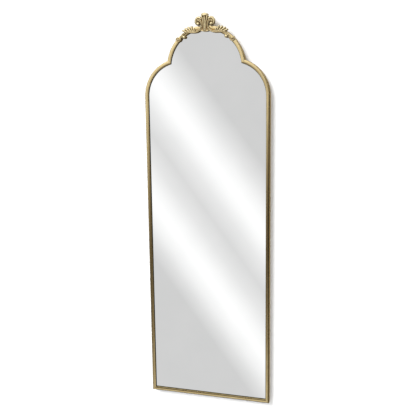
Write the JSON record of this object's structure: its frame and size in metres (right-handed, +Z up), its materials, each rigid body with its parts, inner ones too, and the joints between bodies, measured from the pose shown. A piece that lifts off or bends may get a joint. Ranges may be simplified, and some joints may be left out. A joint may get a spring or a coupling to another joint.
{
  "type": "arched full-length wall mirror",
  "caption": "Tall wall mirror in a slim antique-gold metal frame with a shouldered arch top, a cast scrollwork crest, and swinging D-rings on its back to hang it by.",
  "frame": {"origin": "bottom centre of the overall box: under the frame's bottom rail, midway across its width and midway between the crest's front and the bumpers' backs", "axes": "+Z up along the mirror's height, +X to the right seen from the front, -Y out of the glass towards the viewer, +Y into the wall"},
  "size_m": [0.54, 0.039, 1.6571],
  "materials": {
    "frame_metal": "satin antique gold over steel tube, with welded tabs and plates in the same finish",
    "crest_metal": "antique gold on a cast scrollwork, bright on the high parts and dark in the hollows",
    "silvered_glass": "clear float glass silvered on its back, polished edges",
    "foam_tape": "white closed-cell foam tape",
    "board": "fibreboard with a matt dark brown back",
    "black_rubber": "matt black rubber",
    "zinc_steel": "bright zinc plating",
    "insert_brass": "turned brass"
  },
  "bodies": {
    "mirror": {"frame_bottom_rail": "frame_metal", "frame_stile_left": "frame_metal", "frame_stile_right": "frame_metal", "frame_top_arch": "frame_metal", "mirror_glass": "silvered_glass", "mounting_tape": "foam_tape", "backing_board": "board", "setting_blocks": "black_rubber", "retaining_tabs": "frame_metal", "tab_screws": "zinc_steel", "hanger_plate_left": "frame_metal", "hanger_plate_right": "frame_metal", "hanger_strap_left": "zinc_steel", "hanger_strap_right": "zinc_steel", "hanger_screws": "zinc_steel", "wall_bumpers": "black_rubber", "crest_casting": "crest_metal", "crest_inserts": "insert_brass", "crest_washers": "zinc_steel", "crest_screws": "zinc_steel"},
    "ring_left": {"hanger_ring_left": "zinc_steel"},
    "ring_right": {"hanger_ring_right": "zinc_steel"}
  },
  "joints": [
    {"name": "ring_left_swing", "type": "hinge", "parent": "mirror", "child": "ring_left", "pos_m": [-0.235, 0.0138, 1.235], "axis": [-1, 0, 0], "range_deg": [0, 187]},
    {"name": "ring_right_swing", "type": "hinge", "parent": "mirror", "child": "ring_right", "pos_m": [0.235, 0.0138, 1.235], "axis": [-1, 0, 0], "range_deg": [0, 187]}
  ]
}
